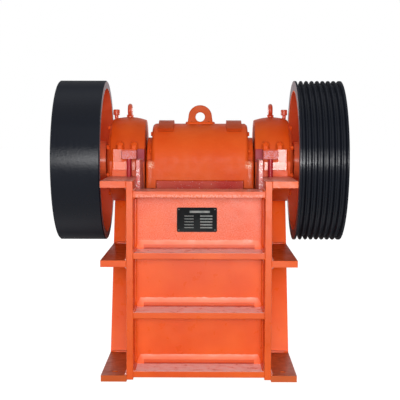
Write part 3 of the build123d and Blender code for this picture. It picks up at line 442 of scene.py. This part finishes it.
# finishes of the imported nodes; those that aren't named here are plateEnamel
nodeFinish = {
    "wallEnamel": ["front_wall"],
    "lugEnamel": ["lifting_lug"],
    "castEnamel": ["head_covers", "adjusting_block", "toggle_plate", "eccentric_shaft"],
    "housingEnamel": ["bearing_pedestal_left", "bearing_pedestal_right"],
    "coverEnamel": ["bearing_end_cover_left", "bearing_end_cover_right"],
    "webEnamel": ["side_webs_left", "side_webs_right"],
    "footEnamel": ["foot_flange_left", "foot_flange_right"],
    "shelfEnamel": ["middle_rib_left", "middle_rib_right"],
    "wedgeEnamel": ["jaw_wedge"],
    "capEnamel": ["bearing_cap_left", "bearing_cap_right"],
    "headEnamel": ["swing_jaw"],
    "ribEnamel": ["front_ribs"],
    "roughEnamel": ["cheek_plate_left", "cheek_plate_right"],
    "boltEnamel": ["bearing_bolts", "oil_cups", "cap_eyebolts", "rod_washers", "rod_nuts", "tension_rod",
                   "shim_pack"],
    "wheelEnamel": ["flywheel", "sheave"],
    "turnedSteel": ["rod_pin", "jaw_toggle_seat"],
    "manganeseSteel": ["fixed_jaw_plate", "moving_jaw_plate"],
    "springSteel": ["tension_spring"],
    "lacqueredSheet": ["nameplate"],
}


def setFinish(piece, finish):
    piece.data.materials.clear()
    piece.data.materials.append(materials[finish])


finishOf = {node: finish for finish, members in nodeFinish.items() for node in members}
for name, node in nodes.items():
    setFinish(node, finishOf.get(name, "plateEnamel"))
print("finishes set")


# shared modelling steps
smoothAngle = 35      # degrees; sharper edges than this stay sharp
levelSpan = 1e-6      # an edge that climbs less than this is level
mostly = 0.9          # this share of a length, or of a direction, counts as the whole


def freshStart():
    if bpy.context.object and bpy.context.mode != "OBJECT":
        bpy.ops.object.mode_set(mode="OBJECT")
    bpy.ops.object.select_all(action="DESELECT")


# in edit mode: selects the points, edges or faces that pass a test
def pick(piece, kind, test):
    bpy.ops.mesh.select_mode(type=kind)
    bpy.ops.mesh.select_all(action="DESELECT")
    mesh = bmesh.from_edit_mesh(piece.data)
    for part in {"VERT": mesh.verts, "EDGE": mesh.edges, "FACE": mesh.faces}[kind]:
        if test(part):
            part.select_set(True)
    mesh.select_flush_mode()
    bmesh.update_edit_mesh(piece.data)


# how far an edge goes along one axis
def edgeSpan(edge, axis):
    start, end = edge.verts
    return abs(start.co[axis] - end.co[axis])


# true for an edge that goes most of a length along one axis
def runsAlong(edge, axis, length):
    return edgeSpan(edge, axis) > length * mostly


# block at a place, its size and place in its mesh
def newBlock(place, size):
    freshStart()
    bpy.ops.mesh.primitive_cube_add(size=1)
    block = bpy.context.object
    block.dimensions = size
    block.location = place
    bpy.ops.object.transform_apply(location=True, rotation=True, scale=True)
    return block


# round bar between two heights on the z axis, its place in its mesh
def newBar(radius, low, high, sides):
    freshStart()
    bpy.ops.mesh.primitive_cylinder_add(vertices=sides, radius=radius, depth=high - low,
                                        location=(0, 0, (low + high) / 2))
    bpy.ops.object.transform_apply(location=True, rotation=True, scale=True)
    return bpy.context.object


# bevels the rims at both ends of a bar, which are its level edges
def bevelEnds(bar, width, segments):
    bpy.ops.object.mode_set(mode="EDIT")
    pick(bar, "EDGE", lambda edge: edgeSpan(edge, 2) < levelSpan)
    bpy.ops.mesh.bevel(offset=width, segments=segments)
    bpy.ops.object.mode_set(mode="OBJECT")


# own copy of a finished master, its place in its mesh
def copyTo(master, matrix):
    copy = bpy.data.objects.new(master.name, master.data.copy())
    bpy.context.scene.collection.objects.link(copy)
    copy.data.transform(matrix)
    return copy


def joinPieces(pieces, name, finish, body):
    freshStart()
    for piece in pieces:
        piece.select_set(True)
    bpy.context.view_layer.objects.active = pieces[0]
    if len(pieces) > 1:
        bpy.ops.object.join()
    whole = bpy.context.object
    bpy.ops.object.transform_apply(location=True, rotation=True, scale=True)
    bpy.ops.object.shade_smooth_by_angle(angle=math.radians(smoothAngle))
    whole.name = name
    whole.data.name = name
    setFinish(whole, finish)
    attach(whole, body)
    return whole


# weld seams of the frame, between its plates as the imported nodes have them
plates = {
    "gap": 0.274, "outer": 0.302, "frontEdge": -0.470, "rearEdge": 0.470,
    "wallFront": -0.330, "wallBack": 0.340, "ribTops": (0.0445, 0.293, 0.5425, 0.798), "ribThick": 0.026,
    "ledgeUnder": 0.812, "ledgeSpan": 0.165, "middleTop": 0.5105, "middleUnder": 0.4825,
    "footTop": 0.0265, "flange": 0.410, "webHalf": 0.0125,
    # leaning webs: y at the foot, y under the ledge, and how high their seams go
    "webs": ((-0.013, 0.269, 0.72), (0.402, 0.355, 0.812)),
}
seams = {
    "size": 0.008, "spacing": 0.014, "wobble": 0.0005,
    "sink": 0.0008,                              # seams go this far into their plates
    "stop": 0.005,                               # and end this far from the ends of the plates
    "cut": 0.85, "roundness": 0.55,              # how much of the outer corner is bevelled away
    "endReach": 0.002, "endShare": 0.35,         # a seam thins out to this share at its ends
    # heavy seams over the ribs: depth at each rib, height on the wall, height of the outer edge,
    # and how much of the depth is cut away under it
    "wallDepths": (0.0042, 0.0032, 0.0022), "wallHeight": 0.045, "lip": 0.020, "undercut": 0.7,
    "heavySeeds": 100,      # each heavy seam moves the seeds on by this, so that none comes twice
}


# one seam in the corner between two plates, along a straight line; the sides point away from the corner
# a size of two numbers makes a heavy seam, with a long sloping top over a face that leans in
def weldSeam(start, end, sideA, sideB, size, seed):
    start, end, sideA, sideB = Vector(start), Vector(end), Vector(sideA), Vector(sideB)
    length = (end - start).length
    along = (end - start).normalized()
    heavy = isinstance(size, tuple)
    sizeA, sizeB = size if heavy else (size, size)
    sink = seams["sink"]
    seam = newBlock((length / 2, (sizeA - sink) / 2, (sizeB - sink) / 2),
                    (length, sizeA + sink, sizeB + sink))
    bpy.ops.object.mode_set(mode="EDIT")
    if heavy:
        pick(seam, "VERT", lambda point: point.co.y > 0 and point.co.z > 0)
        bpy.ops.transform.translate(value=(0, 0, seams["lip"] - sizeB))
        pick(seam, "VERT", lambda point: point.co.y > 0 and point.co.z < 0)
        bpy.ops.transform.translate(value=(0, -sizeA * seams["undercut"], 0))
    else:
        pick(seam, "EDGE", lambda edge: all(point.co.y > 0 and point.co.z > 0 for point in edge.verts))
        bpy.ops.mesh.bevel(offset=min(sizeA, sizeB) * seams["cut"], segments=3, profile=seams["roundness"])
    pick(seam, "EDGE", lambda edge: runsAlong(edge, 0, length))
    bpy.ops.mesh.subdivide(number_cuts=max(2, int(length / seams["spacing"])))
    pick(seam, "VERT", lambda point: point.co.y > 0 or point.co.z > 0)
    bpy.ops.transform.vertex_random(offset=seams["wobble"], seed=seed)
    for x in (0.0, length):
        pick(seam, "VERT", lambda point: abs(point.co.x - x) < seams["endReach"])
        bpy.ops.transform.resize(value=(1, seams["endShare"], seams["endShare"]), center_override=(x, 0, 0))
    bpy.ops.object.mode_set(mode="OBJECT")
    turn = Matrix((along, sideA, sideB)).transposed().to_4x4()
    seam.data.transform(Matrix.Translation(start) @ turn)
    if turn.determinant() < 0:
        seam.data.flip_normals()
    return seam


def frameSeams():
    made, heavy = [], []
    gap, stop, size = plates["gap"], seams["stop"], seams["size"]

    def add(start, end, sideA, sideB, seamSize=size):
        seed = len(made) + seams["heavySeeds"] * len(heavy)
        seam = weldSeam(start, end, sideA, sideB, seamSize, seed)
        (heavy if isinstance(seamSize, tuple) else made).append(seam)

    # front and rear walls, rib by rib; the rear wall has no rib at the top
    for wall, out, edge, tops in ((plates["wallFront"], -1, plates["frontEdge"], plates["ribTops"]),
                                  (plates["wallBack"], 1, plates["rearEdge"], plates["ribTops"][:3])):
        half = gap - size
        for index, top in enumerate(tops):
            under = top - plates["ribThick"]
            if top < tops[-1]:      # heavy seam between a rib and the wall above it
                add((-half, wall, top), (half, wall, top), (0, out, 0), (0, 0, 1),
                    (seams["wallDepths"][index], seams["wallHeight"]))
                for side in (-1, 1):
                    x = side * gap
                    add((x, wall, top), (x, wall, tops[index + 1] - plates["ribThick"]),
                        (-side, 0, 0), (0, out, 0))
            if index:
                add((-half, wall, under), (half, wall, under), (0, out, 0), (0, 0, -1))
            for side in (-1, 1):
                x = side * gap
                add((x, wall, top), (x, edge - out * stop, top), (-side, 0, 0), (0, 0, 1))
                if index:
                    add((x, wall, under), (x, edge - out * stop, under), (-side, 0, 0), (0, 0, -1))

    # ledges, middle ribs, feet and webs on the outside of the side plates
    front, rear = plates["frontEdge"] + stop, plates["rearEdge"] - stop
    ledge, foot = plates["ledgeUnder"], plates["footTop"]
    for side in (-1, 1):
        x = side * plates["outer"]
        for y0, y1 in ((front, shaft.y - plates["ledgeSpan"]), (shaft.y + plates["ledgeSpan"], rear)):
            add((x, y0, ledge), (x, y1, ledge), (side, 0, 0), (0, 0, -1))
        for z, up in ((plates["middleTop"], 1), (plates["middleUnder"], -1), (foot, 1)):
            add((x, front, z), (x, rear, z), (side, 0, 0), (0, 0, up))
        for footY, ledgeY, highest in plates["webs"]:
            run = (ledgeY - footY) / (ledge - foot)
            lean = math.hypot(1, run)
            for z0, z1 in ((foot, plates["middleUnder"]), (plates["middleTop"], highest)):
                for out in (-1, 1):
                    shift = out * plates["webHalf"] * lean
                    y0 = footY + run * (z0 - foot) + shift
                    y1 = footY + run * (z1 - foot) + shift
                    add((x, y0, z0), (x, y1, z1), (side, 0, 0), (0, out / lean, -out * run / lean))
                    add((x, y0, z0), (side * plates["flange"], y0, z0), (0, out, 0), (0, 0, 1))
    return made, heavy


thinSeams, heavySeams = frameSeams()
welds = joinPieces(thinSeams, "frameWelds", "plateEnamel", "root")
joinPieces(heavySeams, "wallSeams", "seamEnamel", "root")
print("frame welds:", len(welds.data.polygons), "faces")


# lifting lug, welded to the barrel of the swing jaw all round
lug = {
    "width": 0.1213, "half": 0.018, "barrel": 0.184, "seam": 0.009, "sideSeed": 300, "endSeed": 310,
    "edges": {"name": "roundedOver", "width": 0.008, "segments": 4, "angle": 60},
}


def lugSeams():
    made = []
    half, barrel, end = lug["half"], lug["barrel"], lug["width"] / 2
    foot = crank.z + math.sqrt(barrel ** 2 - half ** 2)      # where the lug's sides meet the barrel
    crest = crank.z + barrel
    for out in (-1, 1):
        y = shaft.y + out * half
        made.append(weldSeam((-end, y, foot), (end, y, foot), (0, out, 0), (0, 0, 1),
                             lug["seam"], lug["sideSeed"] + out))
        made.append(weldSeam((out * end, shaft.y - half, crest), (out * end, shaft.y + half, crest),
                             (out, 0, 0), (0, 0, 1), lug["seam"], lug["endSeed"] + out))
    return made


joinPieces(lugSeams(), "lugWelds", "castEnamel", "jaw")
print("lug welded")


# bolts of the bearing caps
bolts = {
    "studRadius": 0.010, "pitch": 0.0025, "across": 0.030, "nutHeight": 0.018, "lockNutHeight": 0.011,
    "studEnd": 0.017, "washer": 0.0185, "washerThick": 0.003,
    "nutTurn": 30,           # degrees, so that a nut's corners don't line up with its lock nut's
    "capX": (0.298, 0.362), "capBack": 0.215, "capSeat": 0.962, "capLow": 0.873,
    "holdX": 0.318, "holdBack": 0.258, "holdRadius": 0.01075, "holdTop": 0.9377,
    "holdWasher": 0.86,      # the long bolts' washers have this share of the others' width
}
# corners, as shares of a nut's width, a bar's radius or a washer's thickness
boltShapes = {
    "nutCrown": 1.13, "nutCorner": 0.08, "barEnd": 0.12, "threadRoot": 0.88, "washerEdge": 0.25,
    "nutSides": 32, "barSides": 20, "washerSides": 28,      # sides of the round blanks
    "nutOver": 0.1,          # at each end the hexagon is longer than the turned blank that cuts it
    "ringReach": 0.2,        # points this near to a cut, as a share of half a pitch, lie on it
}


# hexagon nut standing on the origin, its corners turned off
def hexNut(across, height):
    turned = newBar(across / 2 * boltShapes["nutCrown"], 0, height, boltShapes["nutSides"])
    bevelEnds(turned, across * boltShapes["nutCorner"], 1)
    over = height * boltShapes["nutOver"]
    nut = newBar(across / 2 / math.cos(math.radians(30)), -over, height + over, 6)
    cut = nut.modifiers.new("turnedCorners", "BOOLEAN")
    cut.operation = "INTERSECT"
    cut.object = turned
    cut.solver = "EXACT"
    bpy.ops.object.modifier_apply(modifier=cut.name)
    bpy.data.objects.remove(turned)
    return nut


# round bar from one height to another with thread crests near one end
def studBar(radius, low, high, threadLow, threadHigh):
    stud = newBar(radius, low, high, boltShapes["barSides"])
    bevelEnds(stud, radius * boltShapes["barEnd"], 1)
    bpy.ops.object.mode_set(mode="EDIT")
    step = bolts["pitch"] / 2
    count = int((threadHigh - threadLow) / step)
    for index in range(1, count):
        bpy.ops.mesh.select_all(action="SELECT")
        bpy.ops.mesh.bisect(plane_co=(0, 0, threadLow + index * step), plane_no=(0, 0, 1))
    root = boltShapes["threadRoot"]
    for index in range(1, count, 2):
        z = threadLow + index * step
        pick(stud, "VERT", lambda point: abs(point.co.z - z) < step * boltShapes["ringReach"])
        bpy.ops.transform.resize(value=(root, root, 1), center_override=(0, 0, z))
    bpy.ops.object.mode_set(mode="OBJECT")
    return stud


def washerDisc(radius, thick):
    disc = newBar(radius, 0, thick, boltShapes["washerSides"])
    bevelEnds(disc, thick * boltShapes["washerEdge"], 2)
    return disc


# short bolts with a nut and a lock nut on each ear of the caps, and long bolts down through the ledges
def bearingBolts():
    seat, nutHeight, ledge = bolts["capSeat"], bolts["nutHeight"], plates["ledgeUnder"]
    top = seat + nutHeight + bolts["studEnd"]
    nutLow = ledge - nutHeight
    end = nutLow - bolts["studEnd"]
    nut = hexNut(bolts["across"], nutHeight)
    lockNut = hexNut(bolts["across"], bolts["lockNutHeight"])
    washer = washerDisc(bolts["washer"], bolts["washerThick"])
    capStud = studBar(bolts["studRadius"], bolts["capLow"], top, seat + nutHeight, top)
    holdBolt = studBar(bolts["holdRadius"], end, bolts["holdTop"], end, nutLow)
    twist = Matrix.Rotation(math.radians(bolts["nutTurn"]), 4, "Z")
    slim = Matrix.Diagonal((bolts["holdWasher"], bolts["holdWasher"], 1, 1))
    short, long = [], []
    for side in (-1, 1):
        for out in (-1, 1):
            y = shaft.y + out * bolts["capBack"]
            for x in bolts["capX"]:
                place = (side * x, y)
                short.append(copyTo(capStud, Matrix.Translation((*place, 0))))
                short.append(copyTo(nut, Matrix.Translation((*place, seat)) @ twist))
                short.append(copyTo(lockNut, Matrix.Translation((*place, seat + nutHeight))))
                short.append(copyTo(washer, Matrix.Translation((*place, seat))))
            place = (side * bolts["holdX"], shaft.y + out * bolts["holdBack"])
            long.append(copyTo(holdBolt, Matrix.Translation((*place, 0))))
            long.append(copyTo(nut, Matrix.Translation((*place, nutLow)) @ twist))
            long.append(copyTo(washer, Matrix.Translation((*place, ledge - bolts["washerThick"])) @ slim))
    for master in (nut, lockNut, washer, capStud, holdBolt):
        bpy.data.objects.remove(master)
    return short, long


shortBolts, longBolts = bearingBolts()
for made, name, finish in ((shortBolts, "bearingBolts", "castEnamel"),
                           (longBolts, "holdDownBolts", "primerRed")):
    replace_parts(joinPieces(made, name, finish, "root"), "bearing_bolts")

# hexagon screws round the end covers, the ends of the jaw's head, and the shaft's end plates
screwTwist = 0.4      # each head stands this much further round than the last, in radians
screwRings = [
    {"name": "coverScrews", "body": "root", "middle": shaft, "x": 0.4165, "circle": 0.165,
     "count": 8, "across": 0.019, "height": 0.012, "finish": "castEnamel"},
    {"name": "headScrews", "body": "jaw", "middle": crank, "x": 0.2212, "circle": 0.146,
     "count": 8, "across": 0.018, "height": 0.009, "finish": "castEnamel"},
    {"name": "endPlateScrews", "body": "rotor", "middle": shaft, "x": 0.6410, "circle": 0.038,
     "count": 3, "across": 0.024, "height": 0.012, "finish": "zincSteel"},
]


def screwRing(ring):
    head = hexNut(ring["across"], ring["height"])
    made = []
    for side in (-1, 1):
        outward = Matrix.Rotation(side * math.radians(90), 4, "Y")
        for index in range(ring["count"]):
            angle = 2 * math.pi * (index + 0.5) / ring["count"]
            place = ring["middle"] + Vector((side * ring["x"], ring["circle"] * math.cos(angle),
                                             ring["circle"] * math.sin(angle)))
            twist = Matrix.Rotation(index * screwTwist, 4, "Z")
            made.append(copyTo(head, Matrix.Translation(place) @ outward @ twist))
    bpy.data.objects.remove(head)
    return made


for ring in screwRings:
    joinPieces(screwRing(ring), ring["name"], ring["finish"], ring["body"])
print("bolts and screws ready")

# nameplate: blank lacquered sheet with a raised rim, empty fields and four rivets
plateSizes = {
    "middle": (-0.010, -0.331, 0.668), "width": 0.171, "height": 0.105, "thick": 0.002,
    "corner": 0.006, "rim": 0.0035, "recess": 0.0006,
    "rivet": 0.0026, "rivetInset": 0.0085, "rivetSink": 0.0004, "rivetFlat": 0.5, "rivetCrown": 0.0003,
    "crownFacing": 0.75,      # faces that look this far to the front are the crown of a rivet
    "fieldThick": 0.0005, "fieldCorner": 0.0008, "rows": 5, "topRow": 0.016, "rowStep": 0.0125,
    "wideField": (0.012, 0.034, 0.086, 0.009),                        # x, z, width, height
    "columns": ((0.040, 0.052, 0.005), (-0.034, 0.040, 0.0028)),      # x, width, height
}


def nameplate():
    thick = plateSizes["thick"]
    plate = newBlock(plateSizes["middle"], (plateSizes["width"], thick, plateSizes["height"]))
    bpy.ops.object.mode_set(mode="EDIT")
    pick(plate, "EDGE", lambda edge: runsAlong(edge, 1, thick))
    bpy.ops.mesh.bevel(offset=plateSizes["corner"], segments=4)
    pick(plate, "FACE", lambda face: face.normal.y < -mostly)
    bpy.ops.mesh.inset(thickness=plateSizes["rim"])
    bpy.ops.transform.translate(value=(0, plateSizes["recess"], 0))
    bpy.ops.object.mode_set(mode="OBJECT")
    return plate


# rivets in the corners, and one wide field over two columns of narrow ones
def nameplateMetal():
    middle = Vector(plateSizes["middle"])
    front = middle.y - plateSizes["thick"] / 2
    made = []
    for x in (-1, 1):
        for z in (-1, 1):
            freshStart()
            place = (middle.x + x * (plateSizes["width"] / 2 - plateSizes["rivetInset"]),
                     front + plateSizes["rivetSink"],
                     middle.z + z * (plateSizes["height"] / 2 - plateSizes["rivetInset"]))
            bpy.ops.mesh.primitive_uv_sphere_add(segments=16, ring_count=8, radius=plateSizes["rivet"],
                                                 location=place)
            rivet = bpy.context.object
            rivet.scale = (1, plateSizes["rivetFlat"], 1)
            bpy.ops.object.transform_apply(location=True, rotation=True, scale=True)
            bpy.ops.object.mode_set(mode="EDIT")
            pick(rivet, "FACE", lambda face: face.normal.y < -plateSizes["crownFacing"])
            bpy.ops.mesh.inset(thickness=plateSizes["rivetCrown"])
            bpy.ops.object.mode_set(mode="OBJECT")
            made.append(rivet)
    fields = [plateSizes["wideField"]]
    for x, width, height in plateSizes["columns"]:
        for row in range(plateSizes["rows"]):
            fields.append((x, plateSizes["topRow"] - plateSizes["rowStep"] * row, width, height))
    thick = plateSizes["fieldThick"]
    for x, z, width, height in fields:
        field = newBlock((middle.x + x, front + plateSizes["recess"], middle.z + z), (width, thick, height))
        bpy.ops.object.mode_set(mode="EDIT")
        pick(field, "EDGE", lambda edge: runsAlong(edge, 1, thick))
        bpy.ops.mesh.bevel(offset=plateSizes["fieldCorner"], segments=2)
        bpy.ops.object.mode_set(mode="OBJECT")
        made.append(field)
    return made


sheet = joinPieces([nameplate()], "nameplateSheet", "lacqueredSheet", "root")
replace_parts(sheet, "nameplate")
joinPieces(nameplateMetal(), "nameplateFields", "etchedZinc", "root")
print("nameplate ready")

# softened edges: flame-cut plates have their edges ground and painted over
plateEdges = {"name": "softEdges", "width": 0.0022, "segments": 2, "angle": 40}
sameCorner = 0.00002      # corners of loose triangles that are nearer than this are one
plateNodes = ["front_wall", "front_ribs", "rear_wall", "rear_ribs", "side_plate_left", "side_plate_right",
              "bearing_ledge_left", "bearing_ledge_right", "middle_rib_left", "middle_rib_right",
              "side_webs_left", "side_webs_right", "shim_pack", "cheek_plate_left", "cheek_plate_right"]


# joins a node's loose triangles, then rounds its edges
def soften(node, edges):
    weld = node.modifiers.new("joinCorners", "WELD")
    weld.merge_threshold = sameCorner
    bevel = node.modifiers.new(edges["name"], "BEVEL")
    bevel.width = edges["width"]
    bevel.segments = edges["segments"]
    bevel.limit_method = "ANGLE"
    bevel.angle_limit = math.radians(edges["angle"])
    bevel.harden_normals = True


for name in plateNodes:
    soften(nodes[name], plateEdges)
soften(nodes["lifting_lug"], lug["edges"])      # rounded over, because slings bear on it
print("edges softened")


# studio
studio = {
    "lens": 90.126, "sensor": 36.0, "cameraPlace": (0.030, -4.589, 1.0653), "pitchDown": 4.2,
    "roll": -0.002, "yaw": 0.0065,
    "ambient": 0.24, "floorColour": "8A8A8A", "floorLift": 0.97, "floorSize": 80, "floorHeight": -0.0005,
}
lamps = [
    {"name": "frontSoftbox", "place": (0.0, -5.2, 1.25), "aim": 0.9, "size": (2.8, 2.3), "power": 86},
    {"name": "coreSoftbox", "place": (0.0, -5.19, 1.08), "aim": 0.9, "size": (2.8, 0.85), "power": 60},
    {"name": "rightSpot", "place": (0.76, -5.15, 0.78), "aim": 0.8, "size": (0.32, 0.30), "power": 24},
    {"name": "farSoftbox", "place": (0.0, -11.0, 2.6), "aim": 0.6, "size": (1.6, 1.6), "power": 215},
    {"name": "topSoftbox", "place": (0.4, -3.4, 3.6), "aim": 0.6, "size": (3.2, 2.0), "power": 6},
    {"name": "rearLeftSoftbox", "place": (-4.8, 4.2, 0.95), "aim": 0.8, "size": (2.4, 2.0), "power": 230},
    {"name": "rearRightSoftbox", "place": (4.8, 4.2, 0.95), "aim": 0.8, "size": (2.4, 2.0), "power": 230},
]


# 1 where the camera looks, also by way of a mirror or through glass, and 0 for light on the machine
def cameraShare(tree):
    path = addNode(tree, "ShaderNodeLightPath")
    share = path.outputs["Is Camera Ray"]
    for ray in ("Is Glossy Ray", "Is Transmission Ray"):
        share = addNode(tree, "ShaderNodeMath", {0: share, 1: path.outputs[ray]},
                        operation="MAXIMUM").outputs["Value"]
    return share


world = bpy.data.worlds.new("paperWorld")
bpy.context.scene.world = world
world.use_nodes = True
tree = world.node_tree
tree.nodes.clear()
strength = addNode(tree, "ShaderNodeMapRange", {
    "Value": cameraShare(tree), "To Min": studio["ambient"], "To Max": 1.0})
sky = addNode(tree, "ShaderNodeBackground", {"Color": (1, 1, 1, 1), "Strength": strength.outputs["Result"]})
addNode(tree, "ShaderNodeOutputWorld", {"Surface": sky.outputs["Background"]})

# white paper floor: lifted to white where the camera sees it, so that only the soft shadow is left
freshStart()
bpy.ops.mesh.primitive_plane_add(size=studio["floorSize"], location=(0, 0, studio["floorHeight"]))
floor = bpy.context.object
floor.name = "studioFloor"
paper, tree = newMaterial("studioPaper")
matte = addNode(tree, "ShaderNodeBsdfDiffuse", {"Color": hexColour(studio["floorColour"])})
lift = addNode(tree, "ShaderNodeEmission", {"Color": (1, 1, 1, 1), "Strength": studio["floorLift"]})
lifted = addNode(tree, "ShaderNodeAddShader", {0: matte.outputs["BSDF"], 1: lift.outputs["Emission"]})
shown = addNode(tree, "ShaderNodeMixShader", {
    0: cameraShare(tree), 1: matte.outputs["BSDF"], 2: lifted.outputs["Shader"]})
finishMaterial(tree, shown.outputs["Shader"])
floor.data.materials.append(paper)

# lamps aim at a height over the middle of the floor
for lamp in lamps:
    data = bpy.data.lights.new(lamp["name"], "AREA")
    data.shape = "RECTANGLE"
    data.size, data.size_y = lamp["size"]
    data.energy = lamp["power"]
    light = bpy.data.objects.new(lamp["name"], data)
    bpy.context.scene.collection.objects.link(light)
    light.location = lamp["place"]
    towards = Vector((0, 0, lamp["aim"])) - Vector(lamp["place"])
    light.rotation_euler = towards.to_track_quat("-Z", "Y").to_euler()

cameraData = bpy.data.cameras.new("camera")
cameraData.lens = studio["lens"]
cameraData.sensor_width = studio["sensor"]
camera = bpy.data.objects.new("camera", cameraData)
bpy.context.scene.collection.objects.link(camera)
camera.location = studio["cameraPlace"]
camera.rotation_euler = (math.radians(90 - studio["pitchDown"]), studio["roll"], studio["yaw"])
bpy.context.scene.camera = camera
bpy.context.scene.view_settings.view_transform = "Standard"
print("studio ready")
